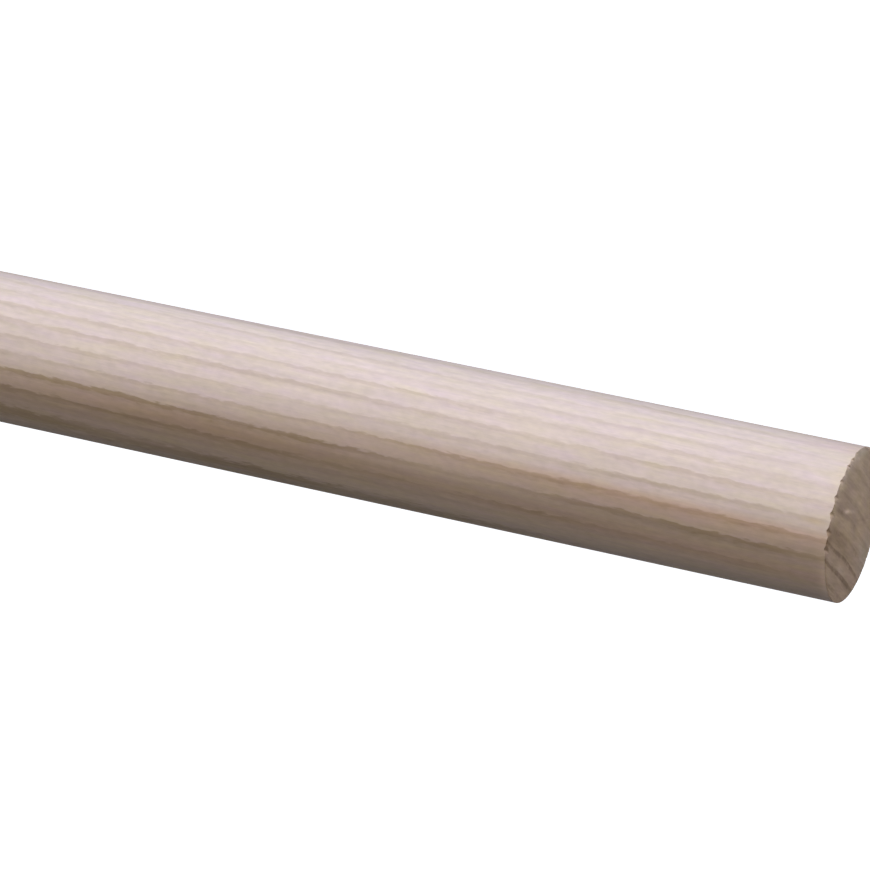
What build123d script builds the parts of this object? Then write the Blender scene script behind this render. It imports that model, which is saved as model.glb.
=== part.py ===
from build123d import *
import math
import os

# A plain round softwood rod, planed to size along its length and cut square at both ends.
# It is one piece of wood, so it is one solid. Sizes are in millimetres.
#
# The rod stands on its lower end. The origin is the centre of that end, and +Z runs up the rod.
# The lower end is a clean square cut with an eased rim.
# The upper end is left as it was sawn: flat and square, with a sharp rim that is broken by a row
# of V nicks on the -Y side. A nick is a groove that starts at nothing a short way inside the rim
# and is deepest where it leaves the rod. The nicks all run the same way.

# Rod
rod_diameter = 25.0
rod_length = 300.0
rim_easing = 0.3  # radius of the rounding round the lower end

# Nicks in the upper rim. The turns are in degrees round +Z, from -Y towards -X
nick_way = 8.0  # the way the nicks run
first_turn = -22.0  # where the first nick leaves the rim
last_turn = 62.5  # where the last nick leaves the rim
nick_places = [0, 1, 2, 3, 4, 5, 5.5, 6]  # in even gaps from the first nick, the last gap halved
first_depth = 0.38  # of the first nick, at the rim
last_depth = 0.26  # of the last nick, at the rim. The depth changes evenly along the row
nick_run = 5.0  # how far inside the rim a nick starts, for each mm of its depth
nick_spread = 2.6  # half width of a nick along the rim, for each mm of its depth

# Nick cutter
overrun = 1.0  # how far the cutter stands above the sawn end

# Worked out from the sizes above
rod_radius = rod_diameter / 2
turn = math.radians(nick_way)
outward = Vector(-math.sin(turn), -math.cos(turn), 0)  # the way the nicks run
sideways = Vector(-math.cos(turn), math.sin(turn), 0)  # across the nicks, towards -X


def across_at(rim_turn):
    """Where a point of the rim lies across the nicks, from the middle of the rod."""
    return rod_radius * math.sin(math.radians(rim_turn - nick_way))


def between(first, last, place):
    """A value that changes evenly along the row, at one nick's place in it."""
    return first + (last - first) * place / nick_places[-1]


with BuildPart() as dowel_rod:
    # The planed barrel
    with BuildSketch(Plane.XY):
        Circle(rod_radius)
    extrude(amount=rod_length)

    # The eased rim of the lower end
    lower_rim = dowel_rod.edges().filter_by(GeomType.CIRCLE).sort_by(Axis.Z)[0]
    fillet(lower_rim, rim_easing)

    # The nicks in the upper rim, each one a V pushed along its sloping bottom line
    for place in nick_places:
        across = between(across_at(first_turn), across_at(last_turn), place)
        depth = between(first_depth, last_depth, place)
        to_rim = math.sqrt(rod_radius**2 - across**2)
        line = sideways * across + Vector(0, 0, rod_length)
        start = line + outward * (to_rim - nick_run * depth)
        end = line + outward * to_rim - Vector(0, 0, depth)
        cutter_height = depth + overrun
        # the rim crosses a nick at a slant, so across the nick it is narrower than along the rim
        cutter_half_width = cutter_height * nick_spread * to_rim / rod_radius
        with BuildSketch(Plane(start, x_dir=-sideways, z_dir=end - start)):
            with BuildLine():
                Polyline(
                    (0, 0),
                    (cutter_half_width, cutter_height),
                    (-cutter_half_width, cutter_height),
                    close=True,
                )
            make_face()
        # a whole diameter, because across a nick near the side the rim curves far away
        extrude(amount=rod_diameter, mode=Mode.SUBTRACT)

dowel_rod.part.label = "dowel_rod"

os.makedirs("parts", exist_ok=True)
export_step(dowel_rod.part, "parts/dowel_rod.step")
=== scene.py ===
import bpy
import math
import numpy as np
from mathutils import Matrix, Vector


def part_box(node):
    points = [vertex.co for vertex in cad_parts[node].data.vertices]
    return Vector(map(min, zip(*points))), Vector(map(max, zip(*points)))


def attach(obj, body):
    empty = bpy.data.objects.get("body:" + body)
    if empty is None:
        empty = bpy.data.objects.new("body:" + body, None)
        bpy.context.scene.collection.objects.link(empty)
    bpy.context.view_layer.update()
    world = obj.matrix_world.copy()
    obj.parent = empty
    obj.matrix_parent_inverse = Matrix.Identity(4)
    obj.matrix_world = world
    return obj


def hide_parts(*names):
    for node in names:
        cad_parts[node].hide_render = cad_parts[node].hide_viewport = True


# a softwood rod, planed round, standing on its clean end with the sawn end up
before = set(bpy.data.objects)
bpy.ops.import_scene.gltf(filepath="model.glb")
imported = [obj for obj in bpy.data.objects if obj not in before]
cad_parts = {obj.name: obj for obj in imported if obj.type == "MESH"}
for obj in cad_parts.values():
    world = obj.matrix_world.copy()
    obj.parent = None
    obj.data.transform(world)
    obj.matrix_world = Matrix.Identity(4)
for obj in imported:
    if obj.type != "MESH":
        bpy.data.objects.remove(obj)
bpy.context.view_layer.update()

# the rod is worked out in mm, and turned into metres where its mesh is made
mm = 0.001
rodLow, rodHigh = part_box("dowel_rod")
rodRadius = (rodHigh.x - rodLow.x) / 2 / mm
rodLength = (rodHigh.z - rodLow.z) / mm
print(f"frame: rod {2 * rodRadius:.1f} mm across, {rodLength:.0f} mm long")


# how the tree grew, in mm and degrees; the years run from the bark side to the pith side
growth = {
    "barkWay": 166.0,  # the side of the rod that faced the bark, from +X towards +Y
    "pithAway": 125.0,  # from the middle of the rod
    "firstYear": 12.0,  # where the newest whole year ends, measured from the middle towards the bark
    # width of the year, darkness of its latewood, and a fade along the grain:
    # mm below the sawn end, how much, how far it goes
    "years": [
        (2.0, 0.45, 60, 0.3, 40),
        (2.45, 0.30, 120, 0.3, 22),
        (2.2, 0.26, 60, 0.2, 22),
        (2.3, 0.20, 120, 0.3, 22),
        (2.65, 0.38, 47, 0.4, 12),
        (2.85, 0.42, 70, 0.2, 22),
        (2.8, 0.47, 98, 0.45, 30),
        (2.55, 0.97, 125, 0.6, 75),
        (2.75, 1.0, 60, 0.60, 22),
        (2.5, 0.64, 27, 0.55, 20),
        (3.5, 0.75, 20, 0.4, 55),
        (2.1, 0.42, 190, 0.5, 22),
    ],
    "takesOver": 0.2,  # a year's own darkness counts from this part of it on, where the wood is pale
    # the latewood's share at parts of the year; at both ends of the year it is 0
    "rise": [(0.35, 0.0), (0.6, 0.25), (0.8, 0.9), (0.93, 1.0)],  # as it stands proud of the side
    "shade": [(0.06, 0.0), (0.42, 0.05), (0.61, 0.35), (0.78, 0.95), (0.88, 1.0)],  # as it is coloured
    "raised": 0.008,  # latewood that stands proud of the planed face
    "raisedSoon": 1.4,  # latewood is fully proud from a darkness of 1 over this
    "rubbed": 0.5,  # close to the sawn end the lines of the side are rubbed pale: how much, and how far down
    "rubbedReach": 12.0,
    "grainSlope": 0.0165,  # how far the rings drift towards the bark for each mm down from the sawn end
    # sizes of waves and noise are across the rings, along them and down the grain
    "wander": 0.10,  # slow waves in the rings; their sizes are along x, y and z
    "wanderSize": (14, 14, 90),
    "tremble": 0.05,  # quick waves in the rings, in years
    "trembleSize": (1.8, 1.8, 6),
    "feather": 0.22,  # how ragged the latewood's edge is on the side and on the ends, in years
    "endFeather": 0.05,
    "featherSize": (0.5, 0.5, 2.2),
    "breakUp": 1.2,  # how unevenly dark the latewood is along the grain
    "breakUpSize": (2.0, 2.0, 26),
}


def waves(points, size, seed, count=7):
    # smooth random ups and downs round 0, mostly within 2; size is the wave length along x, y and z
    rng = np.random.default_rng(seed)
    total = np.zeros(len(points))
    for _ in range(count):
        way = rng.normal(size=3)
        way *= rng.uniform(0.7, 1.4) / np.linalg.norm(way)
        total += np.sin(points @ (way * 2 * np.pi / np.array(size)) + rng.uniform(0, 2 * np.pi))
    return total * (2 / count) ** 0.5


def growthPlace(points):
    # where points lie across the rings, along them and down the grain
    bark = math.radians(growth["barkWay"])
    toBark = points[:, :2] @ np.array([math.cos(bark), math.sin(bark)]) + growth["pithAway"]
    alongRings = points[:, :2] @ np.array([-math.sin(bark), math.cos(bark)])
    down = rodLength - points[:, 2]
    acrossRings = np.hypot(toBark, alongRings) - growth["pithAway"] - growth["grainSlope"] * down
    acrossRings += growth["wander"] * waves(points, growth["wanderSize"], seed=3)
    return np.column_stack([acrossRings, alongRings, down])


def yearCount(place):
    # grows by one from the end of one year's latewood to the end of the next, towards the bark
    widths = [year[0] for year in growth["years"]]
    ends = growth["firstYear"] - np.cumsum([0, *widths])
    ends = [ends[0] + widths[0], *ends]  # a part of one more year shows at the bark side
    return np.interp(place[:, 0], ends[::-1], np.arange(len(ends)))


def latewoodDarkness(place, count):
    years = np.array(growth["years"][::-1])
    own = np.floor(count - growth["takesOver"]).astype(int).clip(0, len(years) - 1)
    _, dark, fadeAt, fade, reach = years[own].T
    return dark * (1 - fade * np.exp(-(((place[:, 2] - fadeAt) / reach) ** 2)))


def latewood(count, dark):
    # 0 in earlywood, up to the year's darkness in latewood
    parts, shares = zip((0, 0), *growth["rise"], (1, 0))
    return np.interp(count % 1, parts, shares) * dark


# the shape of the sawn end, in mm and degrees; turns go from the -Y side towards -X
sawnEnd = {
    "nickWay": 8.0,  # the way the nicks run
    "firstTurn": -22.0,  # where the first and the last nick leave the rim
    "lastTurn": 62.5,
    "nickPlaces": [0, 1, 2, 3, 4, 5, 5.5, 6],  # in even gaps from the first nick, the last gap halved
    "firstDepth": 0.38,
    "lastDepth": 0.26,
    "nickRun": 5.0,  # how far inside the rim a nick starts, for each mm of its depth
    "nickSpread": 2.6,  # half width of a nick along the rim, for each mm of its depth
    "wear": 0.13,  # how far the edge is worn down, and how far inside the rim the wear goes
    "wearIn": 0.5,
    # tips that are left whole: where, and the degrees over which the edge falls away on the gentle side;
    # below zero, that is the side of the smaller turns
    "tips": [(-11.5, -5.0), (0.4, -7.0), (12.4, -6.0), (35.3, 8.0), (46.5, 4.0), (55.7, 6.0)],
    "tipSteeper": 5,  # the other side of a tip is this many times steeper
    # unevenness all over; sizes are across the nicks and along them, and the third has no effect
    "swell": 0.012,  # broad low waves that the saw left
    "swellSize": (2.2, 12.0, 1),
    "fuzz": 0.005,  # fine torn fibres
    "fuzzSize": (0.45, 2.5, 1),
    "rimFuzz": 0.03,  # torn fibres at the edge itself, and how far inside the rim they go
    "rimFuzzSize": (0.5, 0.5, 1),
    "rimFuzzIn": 0.25,
}


def nickFrame():
    # the way the nicks run, and across it towards +X
    turn = math.radians(sawnEnd["nickWay"])
    way = np.array([-math.sin(turn), -math.cos(turn)])
    side = np.array([math.cos(turn), -math.sin(turn)])
    return way, side


def acrossAt(rimTurn):
    # where a point of the rim lies across the nicks
    return -rodRadius * math.sin(math.radians(rimTurn - sawnEnd["nickWay"]))


def nickDepth(across, along):
    # depth of the nicks under the flat end; both places are measured from the middle of the end
    s = sawnEnd
    first, last = acrossAt(s["firstTurn"]), acrossAt(s["lastTurn"])
    depth = np.zeros(len(across))
    for place in s["nickPlaces"]:
        share = place / s["nickPlaces"][-1]
        line = first + (last - first) * share
        atRim = s["firstDepth"] + (s["lastDepth"] - s["firstDepth"]) * share
        toRim = math.sqrt(rodRadius**2 - line**2)
        bottom = np.maximum(0, (along - toRim) / s["nickRun"] + atRim)
        # the rim crosses a nick at a slant, so across the nick it is narrower than along the rim
        spread = s["nickSpread"] * toRim / rodRadius
        depth = np.maximum(depth, bottom - np.abs(across - line) / spread)
    return depth


def wornDepth(across, along):
    # how far the edge is worn down between the tips
    rimTurn = sawnEnd["nickWay"] + np.degrees(np.arctan2(-across, along))
    whole = np.zeros(len(across))
    for tip, fall in sawnEnd["tips"]:
        away = (rimTurn - tip) / fall
        whole = np.maximum(whole, np.where(away > 0, 1 - away, 1 + sawnEnd["tipSteeper"] * away))
    toRim = rodRadius - np.hypot(across, along)
    return sawnEnd["wear"] * (1 - whole) * np.exp(-toRim / sawnEnd["wearIn"])


def sawnHeight(across, along):
    # height of the sawn end
    s = sawnEnd
    flat = np.column_stack([across, along, np.zeros(len(across))])
    swell = s["swell"] * (1 + waves(flat, s["swellSize"], seed=11, count=12)) / 2
    fuzz = s["fuzz"] * (1 + waves(flat, s["fuzzSize"], seed=12, count=12))
    torn = np.clip(waves(flat, s["rimFuzzSize"], seed=13, count=12), 0, 1)
    toRim = rodRadius - np.hypot(across, along)
    atRim = s["rimFuzz"] * np.exp(-toRim / s["rimFuzzIn"]) * torn
    down = np.maximum(nickDepth(across, along), wornDepth(across, along))
    return rodLength - (down + np.maximum(0, swell + fuzz) + atRim)


# stain marks, paler places, painted light and painted shade, in mm and degrees; turns go from the -Y side
# towards -X
stainsAndPaintedLight = {
    # on the sawn end: middle (towards -Y, towards -X), half length, half width, turn,
    # change of tone, change of warmth
    "sawn": [
        (2.0, 8.5, 12.0, 4.0, 8, 0.10, -0.06),  # the pale bark side
        (0.0, -9.0, 12.0, 4.0, 10, -0.12, 0.03),  # the dark pith side
        (6.6, -2.7, 6.5, 1.5, 9, -0.36, 0.14),  # the broad brown place
        (-9.5, -4.5, 3.0, 3.0, 0, 0.06, -0.18),
        (4.95, 1.8, 1.2, 0.36, -4, 0.90, -0.10),  # a pale fleck and its tail
        (2.5, 2.0, 1.8, 0.32, -3, 0.24, -0.06),
        (8.6, 1.5, 1.9, 0.40, 3, -0.22, 0.05),
        (1.5, -7.4, 2.6, 0.60, 12, 0.30, -0.10),
        (8.6, -7.2, 2.2, 0.22, 12, 0.22, 0.0),
        (-2.0, -9.4, 3.2, 0.50, 12, -0.22, 0.06),
        (1.2, -9.0, 2.0, 0.24, 12, 0.24, -0.06),
        (-6.0, -3.0, 1.6, 0.70, 12, 0.16, -0.06),
        (-0.4, 3.7, 2.0, 0.36, 14, 0.20, 0.0),
        (1.0, 3.0, 5.0, 1.1, 10, 0.08, -0.04),
        (-3.3, 5.4, 1.6, 0.40, 15, 0.10, -0.02),
        (-4.4, 1.2, 4.0, 0.32, -10, -0.12, 0.03),
        (2.6, 8.3, 3.6, 0.40, 14, -0.18, 0.03),
        (-0.8, 6.8, 2.8, 0.35, 6, -0.12, 0.02),
        (9.9, 4.3, 1.4, 0.34, 5, -0.20, 0.03),
        (8.7, 9.0, 1.2, 0.26, 6, 0.35, -0.04),
        (10.0, 7.0, 1.2, 0.40, 6, 0.28, -0.06),
        (2.6, 11.5, 3.4, 0.9, -14, 0.28, -0.14),
        (10.4, 4.9, 1.3, 0.8, 6, 0.28, -0.02),
        (11.3, -3.2, 1.7, 1.0, 9, -0.30, 0.16),
        (9.4, -7.4, 1.6, 0.8, 12, 0.18, 0.0),
        (1.5, -5.2, 3.4, 1.1, 12, -0.12, 0.04),
    ],
    # round this turn, on the side the light comes from, the worn edge, the tips and the nicks are paler than
    # the rest of the sawn end; the worn edge is partly worn pale and partly painted light from above, the
    # tips are pale torn fibres with a painted highlight, and the nicks are painted lighter to take away
    # their shade
    "paleTurn": 40.0,
    "paleSpan": 45.0,  # half its width
    # worn pale, and partly painted light from above on the edge
    "wearPaleAndLit": 0.42,
    "wearCoolAndLit": 0.12,  # the worn edge is also less warm, partly as painted cool light
    "wearAndLightReach": 2.3,  # how far inside the rim the pale edge goes
    # pale torn fibres at the tips, with a painted highlight on them
    "tipPaleAndHighlight": 0.55,
    "tipReach": 0.7,
    # painted light in the nicks, lifting the shade of their walls
    "nickPaintedLight": 0.30,
    "nickPaintedLightDepth": 0.15,  # the depth from which a nick gets the full painted light
    # on the side: turn, half width, mm below the sawn end, how far it goes, colour to multiply by
    "side": [
        (40.0, 42.0, 0.0, 1.5, (1.0, 0.995, 0.91)),  # fine dust rubbed into the edge
        (-52.0, 24.0, 0.0, 1.1, (1.33, 1.32, 1.34)),  # painted light: the lower edge next to the sawn rim is painted much lighter, standing in for light it catches
        (69.0, 11.0, 0.0, 8.0, (0.94, 0.89, 0.89)),
        (-2.7, 2.6, 2.6, 1.6, (0.96, 0.93, 0.76)),
        (82.0, 12.0, 80.0, 600.0, (0.88, 0.875, 0.88)),  # painted shade: a greyer strip all along the rod, darkening the edge of its lit side where the light falls off
    ],
    # browner bands in the wood of the side: the same, but for the place across the rings, not the turn
    "bands": [
        (-7.2, 1.2, 30, 80, (0.89, 0.835, 0.775)),
        (-5.6, 1.1, 25, 50, (0.93, 0.82, 0.73)),
        (-9.6, 1.6, 112, 42, (0.91, 0.83, 0.76)),
        (-10.6, 1.0, 20, 40, (0.99, 0.93, 0.91)),
        (-12.0, 0.35, 120, 70, (0.89, 0.87, 0.86)),  # a faint false ring
        (-13.2, 0.9, 120, 40, (0.93, 0.92, 0.91)),
    ],
}


def sawnStainAndPaintedLight(points):
    # the stain marks and the painted light of the sawn end as a colour to multiply by; the rest of the rod
    # has none
    toFront, toSide = -points[:, 1], -points[:, 0]
    onEnd = points[:, 2] > rodLength / 2
    tone, warmth = np.ones(len(points)), np.zeros(len(points))
    for front, sideways, halfLength, halfWidth, turn, change, warmer in stainsAndPaintedLight["sawn"]:
        a = math.radians(turn)
        u = (toFront - front) * math.cos(a) + (toSide - sideways) * math.sin(a)
        w = (toSide - sideways) * math.cos(a) - (toFront - front) * math.sin(a)
        share = onEnd * np.exp(-((u / halfLength) ** 2) - (w / halfWidth) ** 2)
        tone += change * share
        warmth += warmer * share

    # the worn edge, partly painted light; the tips, with a painted highlight; and the nicks, painted lighter
    # against their shade
    rimTurn = np.degrees(np.arctan2(toSide, toFront))
    pale = onEnd * np.exp(-(((rimTurn - stainsAndPaintedLight["paleTurn"]) / stainsAndPaintedLight["paleSpan"]) ** 2))
    toRim = rodRadius - np.hypot(toFront, toSide)
    worn = pale * np.exp(-((toRim / stainsAndPaintedLight["wearAndLightReach"]) ** 2))
    tone += stainsAndPaintedLight["wearPaleAndLit"] * worn
    warmth -= stainsAndPaintedLight["wearCoolAndLit"] * worn
    for tip, _ in sawnEnd["tips"]:
        a = math.radians(tip)
        away = np.hypot(toFront - rodRadius * math.cos(a), toSide - rodRadius * math.sin(a))
        # a painted highlight on the pale tips
        tone += stainsAndPaintedLight["tipPaleAndHighlight"] * pale * np.exp(-((away / stainsAndPaintedLight["tipReach"]) ** 2))
    way, side = nickFrame()
    depth = nickDepth(points[:, :2] @ side, points[:, :2] @ way)
    # painted light that lifts the shade in the nicks
    tone += stainsAndPaintedLight["nickPaintedLight"] * pale * np.clip(depth / stainsAndPaintedLight["nickPaintedLightDepth"], 0, 1)

    return tone[:, None] * np.column_stack([1 + warmth / 2, np.ones(len(points)), 1 - warmth / 2])


def sideStainAndPaintedLight(points, place):
    # the stain marks, the painted light and painted shade, and the browner bands of the side as a colour to
    # multiply by
    rimTurn = np.degrees(np.arctan2(-points[:, 0], -points[:, 1]))
    acrossRings, _, below = place.T
    colour = np.ones((len(points), 3))
    for across, marks in ((rimTurn, stainsAndPaintedLight["side"]), (acrossRings, stainsAndPaintedLight["bands"])):
        for middle, halfWidth, down, reach, tint in marks:
            share = np.exp(-(((across - middle) / halfWidth) ** 2) - ((below - down) / reach) ** 2)
            colour *= 1 + share[:, None] * (np.array(tint) - 1)
    return colour


# the clean end and the rod's mesh, in mm and degrees
rod = {
    "rimEasing": 0.3,  # rounding round the clean end
    "easingSteps": 6,
    "columns": 560,  # points round the rod, a multiple of 4
    # rows of points on the side: down from the sawn rim, evenly from there, and up from the clean end
    "nearRows": [0.0, 0.12, 0.25, 0.4, 0.55, 0.75, 1.0, 1.3, 1.7, 2.2, 3.0, 4.0, 5.5, 7.5, 10.0],
    "rowGap": 4.0,
    "lowRows": [6, 3, 1.5, 0.8],
    "rimFollow": 1.6,  # how far down the side its rows follow the uneven sawn rim
    "rimBlend": 0.5,  # how far inside the sawn rim the end follows the lowered earlywood of the side
    "sawnSteps": 100,  # across the sawn end, along the nicks
    "cleanSteps": 12,  # across the clean end
    "sharpAngle": 40,  # edges that bend by more are shaded sharp
}

sideSlot, sawnSlot, cleanSlot = 0, 1, 2  # the order of the rod's materials


def addPoints(parts, across, along, height):
    # points at places across and along the nicks; returns their numbers
    way, side = nickFrame()
    first = len(parts["points"])
    flat = np.outer(across, side) + np.outer(along, way)
    parts["points"] += np.column_stack([flat, height]).tolist()
    return list(range(first, len(parts["points"])))


def addSide(parts, acrossRim, alongRim):
    # row by row from the sawn rim down to the rounding
    nearRows, lowRows = rod["nearRows"], rod["lowRows"]
    last = rodLength - lowRows[0]
    count = int((last - nearRows[-1]) / rod["rowGap"])
    evenRows = np.linspace(nearRows[-1], last, count + 1)[1:]
    rimDown = rodLength - sawnHeight(acrossRim, alongRim)
    rows = []
    for down in [*nearRows, *evenRows, *(rodLength - up for up in lowRows[1:])]:
        height = rodLength - down - rimDown * max(0, 1 - down / rod["rimFollow"])
        rows.append(addPoints(parts, acrossRim, alongRim, height))
    return rows


def addEasing(parts, acrossRim, alongRim):
    # the rounded rim of the clean end
    rows = []
    for step in range(rod["easingSteps"] + 1):
        angle = step / rod["easingSteps"] * math.pi / 2
        share = 1 - rod["rimEasing"] * (1 - math.cos(angle)) / rodRadius
        height = np.full(len(acrossRim), rod["rimEasing"] * (1 - math.sin(angle)))
        rows.append(addPoints(parts, acrossRim * share, alongRim * share, height))
    return rows


def joinRows(parts, rows):
    for upper, lower in zip(rows, rows[1:]):
        corners = [upper, lower, np.roll(lower, -1), np.roll(upper, -1)]
        parts["faces"] += np.column_stack(corners).tolist()
        parts["slots"] += [sideSlot] * len(upper)


def cleanHeight(across, along):
    # height of the clean end, which is flat
    return np.zeros(len(across))


def closeEnd(parts, rim, acrossRim, alongRim, heightAt, steps, slot):
    # strips that run the way of the nicks, each between two points of the rim that face each other
    quarter = len(rim) // 4
    strips = []
    for i in range(-quarter, quarter + 1):
        front, back = i % len(rim), (2 * quarter - i) % len(rim)
        if front == back:
            strips.append([rim[front]] * (steps + 1))
            continue
        along = np.linspace(1, -1, steps + 1)[1:-1] * alongRim[front]
        across = np.full(len(along), acrossRim[front])
        inner = addPoints(parts, across, along, heightAt(across, along))
        strips.append([rim[front], *inner, rim[back]])
    for one, two in zip(strips, strips[1:]):
        for k in range(steps):
            # the outermost strips are one point each, and make triangles
            corners = list(dict.fromkeys([one[k], two[k], two[k + 1], one[k + 1]]))
            parts["faces"].append(corners if slot == sawnSlot else corners[::-1])
            parts["slots"].append(slot)


def lowerEarlywood(points, onSide, count, dark):
    # planing leaves earlywood a little lower than latewood
    sunk = growth["raised"] * (1 - np.clip(latewood(count, dark) * growth["raisedSoon"], 0, 1))
    away = np.hypot(points[:, 0], points[:, 1])
    # close to the rim the sawn end follows the side, so that no face folds over
    nearRim = np.clip(1 - (rodRadius - away) / rod["rimBlend"], 0, 1) * (points[:, 2] > rodLength / 2)
    share = np.where(onSide, 1, nearRim)
    points[:, :2] *= (1 - share * sunk / np.maximum(away, 1))[:, None]


def addAttribute(mesh, name, values):
    # one number or three for each point, for the materials to read
    kind, field = ("FLOAT", "value") if values.ndim == 1 else ("FLOAT_VECTOR", "vector")
    data = mesh.attributes.new(name, kind, "POINT").data
    data.foreach_set(field, values.astype(np.float32).ravel())


def makeRod():
    turns = np.arange(rod["columns"]) / rod["columns"] * 2 * np.pi  # from the way the nicks run
    acrossRim = rodRadius * np.sin(turns)
    alongRim = rodRadius * np.cos(turns)
    parts = {"points": [], "faces": [], "slots": []}
    sideRows = addSide(parts, acrossRim, alongRim)
    easingRows = addEasing(parts, acrossRim, alongRim)
    joinRows(parts, sideRows + easingRows)
    closeEnd(parts, sideRows[0], acrossRim, alongRim, sawnHeight, rod["sawnSteps"], sawnSlot)
    share = 1 - rod["rimEasing"] / rodRadius
    acrossRim, alongRim = acrossRim * share, alongRim * share
    closeEnd(parts, easingRows[-1], acrossRim, alongRim, cleanHeight, rod["cleanSteps"], cleanSlot)

    points = np.array(parts["points"])
    place = growthPlace(points)
    count = yearCount(place)
    dark = latewoodDarkness(place, count)
    onSide = np.zeros(len(points), bool)
    onSide[np.concatenate(sideRows)] = True
    dark *= 1 - onSide * growth["rubbed"] * np.exp(-((place[:, 2] / growth["rubbedReach"]) ** 2))
    lowerEarlywood(points, onSide, count, dark)

    mesh = bpy.data.meshes.new("dowelRod")
    mesh.from_pydata((points * mm).tolist(), [], parts["faces"])
    mesh.polygons.foreach_set("material_index", parts["slots"])
    mesh.polygons.foreach_set("use_smooth", [True] * len(parts["faces"]))
    addAttribute(mesh, "yearCount", count)
    addAttribute(mesh, "latewoodDark", dark)
    addAttribute(mesh, "growthPlace", place * mm)
    # stain marks and painted light on the sawn end; on the side, stain marks with painted light and painted
    # shade
    addAttribute(mesh, "sawnStainAndPaintedLight", sawnStainAndPaintedLight(points))
    addAttribute(mesh, "sideStainAndPaintedLight", sideStainAndPaintedLight(points, place))
    mesh.set_sharp_from_angle(angle=math.radians(rod["sharpAngle"]))
    mesh.validate()
    piece = bpy.data.objects.new("dowelRod", mesh)
    bpy.context.scene.collection.objects.link(piece)
    return piece


rodPiece = makeRod()
triangles = sum(len(p.vertices) - 2 for p in rodPiece.data.polygons)
print(f"rod: {len(rodPiece.data.vertices)} points, {triangles} triangles")


# nodes; wherever a node takes a value, that is a number, a colour or another node's output
def addNode(tree, kind, inputs=None, **settings):
    node = tree.nodes.new("ShaderNode" + kind)
    for name, value in settings.items():
        setattr(node, name, value)
    for name, value in (inputs or {}).items():
        if isinstance(value, bpy.types.NodeSocket):
            tree.links.new(value, node.inputs[name])
        else:
            node.inputs[name].default_value = value
    return node


def rgba(colour):
    return (*colour, 1.0)


def mathOf(tree, operation, *values):
    return addNode(tree, "Math", dict(enumerate(values)), operation=operation).outputs[0]


def mixOf(tree, factor, a, b, blend="MIX"):
    # when it mixes colours, the node's sockets are 0 for the factor, 6 and 7 for the colours, and output 2
    node = addNode(tree, "Mix", {0: factor, 6: a, 7: b}, data_type="RGBA", blend_type=blend)
    return node.outputs[2]


def times(tree, colour, other):
    return mixOf(tree, 1.0, colour, other, "MULTIPLY")


def attribute(tree, name, output="Fac"):
    return addNode(tree, "Attribute", attribute_name=name).outputs[output]


def noiseOf(tree, vector, size, detail=2.0, roughness=0.5):
    # noise with features of that size in mm along the vector's x, y and z
    scale = tuple(1 / (s * mm) for s in size)
    scaled = addNode(tree, "VectorMath", {0: vector, 1: scale}, operation="MULTIPLY").outputs[0]
    inputs = {"Vector": scaled, "Scale": 1.0, "Detail": detail, "Roughness": roughness}
    return addNode(tree, "TexNoise", inputs).outputs["Fac"]


def around(tree, noise, middle, amount):
    # from middle - amount to middle + amount; the middle of a noise texture is 0.5
    return mathOf(tree, "MULTIPLY_ADD", noise, 2 * amount, middle - amount)


def ringShade(tree, place, feather):
    # latewood as a share, from the year count that the mesh carries
    count = attribute(tree, "yearCount")
    for size, amount in ((growth["featherSize"], feather), (growth["trembleSize"], growth["tremble"])):
        count = mathOf(tree, "ADD", count, around(tree, noiseOf(tree, place, size), 0.0, amount))
    ramp = addNode(tree, "ValToRGB", {"Fac": mathOf(tree, "FRACT", count)})
    ramp.color_ramp.interpolation = "EASE"
    stops = ramp.color_ramp.elements
    stops[1].color = (0, 0, 0, 1)  # a new ramp ends in white
    for part, share in growth["shade"]:
        stops.new(part).color = (share, share, share, 1)
    # the latewood is broken up along the grain
    broken = around(tree, noiseOf(tree, place, growth["breakUpSize"]), 1.0, growth["breakUp"])
    dark = mathOf(tree, "MULTIPLY", attribute(tree, "latewoodDark"), broken)
    return mathOf(tree, "MULTIPLY", ramp.outputs["Color"], dark)


def varied(tree, vector, tone, changes):
    # the tone, made lighter and darker by one noise after another
    for size, detail, amount in changes:
        noise = noiseOf(tree, vector, size, detail)
        tone = mathOf(tree, "MULTIPLY", tone, around(tree, noise, 1.0, amount))
    return tone


def hueShift(tree, colour, noise, amount):
    # yellower where the noise is high, pinker where it is low; green moves a quarter as far as blue
    green = around(tree, noise, 1.0, amount / 4)
    blue = around(tree, noise, 1.0, -amount)
    shift = addNode(tree, "CombineXYZ", {"X": 1.0, "Y": green, "Z": blue})
    return times(tree, colour, shift.outputs[0])


def startMaterial(name):
    material = bpy.data.materials.new(name)
    material.use_nodes = True
    material.node_tree.nodes.clear()
    return material, material.node_tree


def finishWood(tree, wood, colour, roughness, relief):
    # relief is the noise that stands up and lies down a little
    height = {"Strength": wood["bump"], "Distance": wood["bumpHeight"] * mm, "Height": relief}
    inputs = {
        "Base Color": colour,
        "Roughness": roughness,
        "Specular IOR Level": wood["gloss"],
        "Normal": addNode(tree, "Bump", height).outputs[0],
    }
    shader = addNode(tree, "BsdfPrincipled", inputs)
    addNode(tree, "OutputMaterial", {"Surface": shader.outputs[0]})


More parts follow.
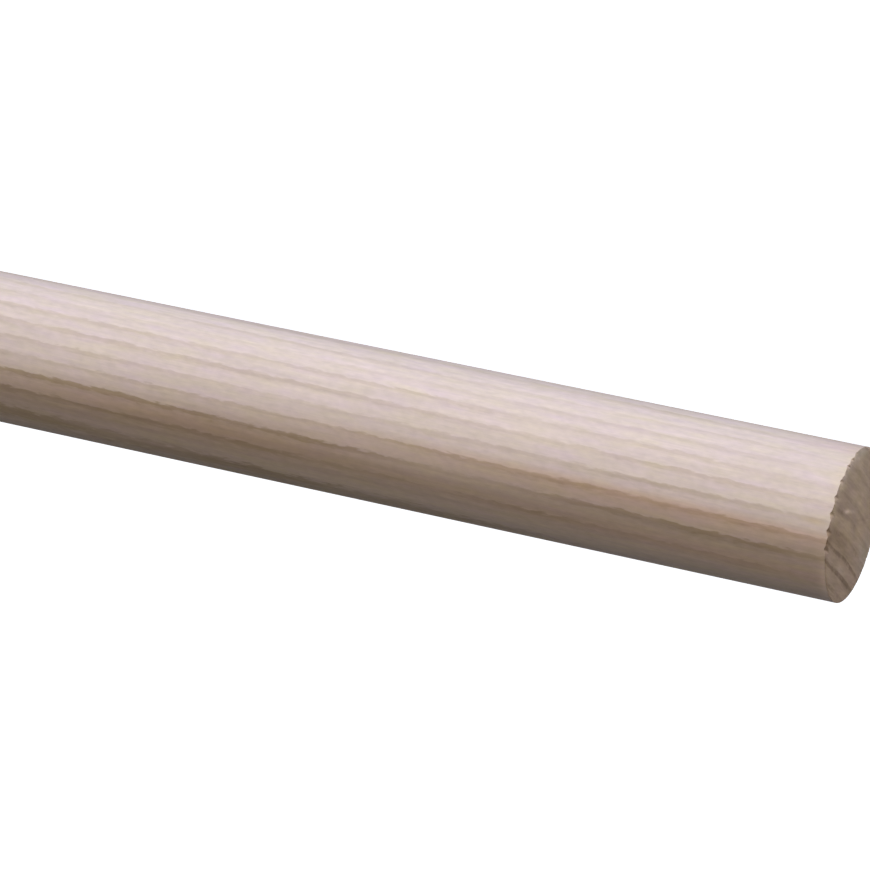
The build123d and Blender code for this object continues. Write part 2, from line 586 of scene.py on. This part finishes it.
# the planed side; sizes are in mm across the rings, along them and down the grain
sideWood = {
    "earlywood": (0.715, 0.582, 0.500),
    "latewood": (0.50, 0.385, 0.275),
    "fibres": 0.07,  # how far the fine fibres vary in lightness
    "fibreSize": (0.22, 0.22, 9),
    # wider changes of tone: size, detail, how much
    "tones": [
        ((1.3, 1.3, 30), 2, 0.112),  # bundles of fibres
        ((9, 9, 70), 1, 0.05),  # slow changes
        ((0.7, 0.7, 1.7), 2, 0.11),  # short flecks
    ],
    "hues": 0.15,  # how far the wood goes from pinkish to yellowish
    "hueSize": (1.5, 1.5, 7),
    "roughness": 0.75,
    "roughnessVaries": 0.07,
    "gloss": 0.02,
    "bump": 0.25,
    "bumpHeight": 0.02,
}


def planedSide():
    material, tree = startMaterial("planedSide")
    place = attribute(tree, "growthPlace", "Vector")
    late = ringShade(tree, place, growth["feather"])
    colour = mixOf(tree, late, rgba(sideWood["earlywood"]), rgba(sideWood["latewood"]))
    fibres = noiseOf(tree, place, sideWood["fibreSize"], detail=3)
    tone = around(tree, fibres, 1.0, sideWood["fibres"])
    colour = times(tree, colour, varied(tree, place, tone, sideWood["tones"]))
    hues = noiseOf(tree, place, sideWood["hueSize"], detail=3, roughness=0.6)
    colour = hueShift(tree, colour, hues, sideWood["hues"])
    # the side's stain marks together with its painted light and painted shade
    colour = times(tree, colour, attribute(tree, "sideStainAndPaintedLight", "Vector"))
    roughness = around(tree, fibres, sideWood["roughness"], sideWood["roughnessVaries"])
    finishWood(tree, sideWood, colour, roughness, fibres)
    return material


# both ends; sizes are in mm across the nicks, along them and up, and up hardly counts on a flat end
endWood = {
    "earlywood": (0.3545, 0.2445, 0.1625),
    "latewood": (0.20, 0.128, 0.078),
    "contrast": 1.25,  # on end grain the weak years fade and the strong ones stay
    "pores": 0.06,
    "poreSize": (0.16, 0.16, 3),  # across the rings, along them and down the grain
    # wider changes of tone: size, detail, how much
    "tones": [
        ((0.7, 4, 1000), 3, 0.24),  # streaks
        ((2.0, 5, 1000), 2, 0.30),  # patches
    ],
    "hues": 0.16,
    "hueSize": (1.6, 3.5, 1000),
    "cleanPaler": 0.05,  # how much paler the clean end is
    "roughness": 0.9,
    "gloss": 0.05,
    "bump": 0.3,
    "bumpHeight": 0.01,
}


def endGrain(name, paler):
    material, tree = startMaterial(name)
    place = attribute(tree, "growthPlace", "Vector")
    late = mathOf(tree, "POWER", ringShade(tree, place, growth["endFeather"]), endWood["contrast"])
    colour = mixOf(tree, late, rgba(endWood["earlywood"]), rgba(endWood["latewood"]))
    # the streaks and patches run the way of the nicks
    flat = addNode(tree, "TexCoord").outputs["Object"]
    inputs = {"Vector": flat, "Angle": math.radians(sawnEnd["nickWay"])}
    turned = addNode(tree, "VectorRotate", inputs, rotation_type="Z_AXIS").outputs[0]
    pores = noiseOf(tree, place, endWood["poreSize"], detail=3, roughness=0.6)
    tone = around(tree, pores, 1.0 + paler, endWood["pores"])
    colour = times(tree, colour, varied(tree, turned, tone, endWood["tones"]))
    colour = hueShift(tree, colour, noiseOf(tree, turned, endWood["hueSize"]), endWood["hues"])
    # the sawn end's stain marks together with its painted light and painted highlight
    colour = times(tree, colour, attribute(tree, "sawnStainAndPaintedLight", "Vector"))
    finishWood(tree, endWood, colour, endWood["roughness"], pores)
    return material


# in the order of the slots
rodPiece.data.materials.append(planedSide())
rodPiece.data.materials.append(endGrain("sawnEndGrain", 0.0))
rodPiece.data.materials.append(endGrain("cutEndGrain", endWood["cleanPaler"]))
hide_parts("dowel_rod")
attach(rodPiece, "root")
print("wood:", ", ".join(material.name for material in rodPiece.data.materials))


# floor, light and camera
studio = {
    "floorSize": 8.0,  # metres
    "floorTone": (0.04, 0.038, 0.036),  # the floor that reflects light onto the rod
    "floorShown": (0.80, 0.80, 0.80),  # the floor that is seen, and its own glow
    "floorGlow": 0.68,
    "suns": [
        # name, degrees round from -Y towards +X, degrees up, strength beside pi, colour, softness in degrees
        ("keySun", -58, 22, 0.94, (1.0, 1.09, 1.285), 10),
        ("fillSun", 6, 10, 0.31, (1.0, 0.88, 0.725), 12),
        ("bounceSun", 90, 5, 0.06, (0.43, 0.67, 1.0), 20),
        ("backSun", 170, 11, 0.75, (1.0, 0.965, 0.90), 15),
    ],
    # the camera's place and aim, in mm from the middle of the sawn end
    "cameraPlace": (-0.066, -676.18, 199.68),
    "cameraAim": (-0.376, 0.44, -72.31),
    "cameraRoll": 101.835,  # degrees, so that the standing rod is seen lying down
    "lens": 185.69,
    "sensor": 36,
    "clip": (0.01, 50),  # metres
}


def seenByEye(tree):
    # 1 where a surface is seen, also in a gloss or through glass, and 0 where it only lights another one
    path = addNode(tree, "LightPath")
    seen = mathOf(tree, "MAXIMUM", path.outputs["Is Camera Ray"], path.outputs["Is Glossy Ray"])
    return mathOf(tree, "MAXIMUM", seen, path.outputs["Is Transmission Ray"])


def makeFloor():
    half = studio["floorSize"] / 2
    corners = [(-half, -half, 0), (half, -half, 0), (half, half, 0), (-half, half, 0)]
    mesh = bpy.data.meshes.new("studioFloor")
    mesh.from_pydata(corners, [], [(0, 1, 2, 3)])
    floor = bpy.data.objects.new("studioFloor", mesh)
    bpy.context.scene.collection.objects.link(floor)
    material, tree = startMaterial("palePaper")
    plain = addNode(tree, "BsdfDiffuse", {"Color": rgba(studio["floorTone"])})
    shown = addNode(tree, "BsdfDiffuse", {"Color": rgba(studio["floorShown"])})
    glow = addNode(tree, "Emission", {"Color": (1, 1, 1, 1), "Strength": studio["floorGlow"]})
    bright = addNode(tree, "AddShader", {0: shown.outputs[0], 1: glow.outputs[0]})
    both = addNode(tree, "MixShader", {0: seenByEye(tree), 1: plain.outputs[0], 2: bright.outputs[0]})
    addNode(tree, "OutputMaterial", {"Surface": both.outputs[0]})
    mesh.materials.append(material)


def makeBackdrop():
    # white to the eye, without light on the rod
    world = bpy.data.worlds.new("studioWorld")
    bpy.context.scene.world = world
    world.use_nodes = True
    tree = world.node_tree
    tree.nodes.clear()
    back = addNode(tree, "Background", {"Color": (1, 1, 1, 1), "Strength": seenByEye(tree)})
    addNode(tree, "OutputWorld", {"Surface": back.outputs[0]})


def makeSuns():
    for name, azimuth, up, strength, colour, softness in studio["suns"]:
        lamp = bpy.data.lights.new(name, "SUN")
        lamp.energy = strength * math.pi
        lamp.color = colour
        lamp.angle = math.radians(softness)
        a, e = math.radians(azimuth), math.radians(up)
        toSun = Vector((math.sin(a) * math.cos(e), -math.cos(a) * math.cos(e), math.sin(e)))
        sun = bpy.data.objects.new(name, lamp)
        sun.rotation_mode = "QUATERNION"
        sun.rotation_quaternion = toSun.to_track_quat("Z", "Y")
        bpy.context.scene.collection.objects.link(sun)


def makeCamera():
    lens = bpy.data.cameras.new("camera")
    lens.lens = studio["lens"]
    lens.sensor_width = studio["sensor"]
    lens.clip_start, lens.clip_end = studio["clip"]
    camera = bpy.data.objects.new("camera", lens)
    sawnMiddle = Vector((0, 0, rodLength * mm))
    place = sawnMiddle + Vector(studio["cameraPlace"]) * mm
    aim = sawnMiddle + Vector(studio["cameraAim"]) * mm
    level = (aim - place).to_track_quat("-Z", "Y").to_matrix().to_4x4()
    roll = Matrix.Rotation(math.radians(studio["cameraRoll"]), 4, "Z")
    camera.matrix_world = Matrix.Translation(place) @ level @ roll
    bpy.context.scene.collection.objects.link(camera)
    bpy.context.scene.camera = camera


makeFloor()
makeBackdrop()
makeSuns()
makeCamera()
bpy.context.scene.view_settings.view_transform = "Standard"
print("floor, light and camera: done")
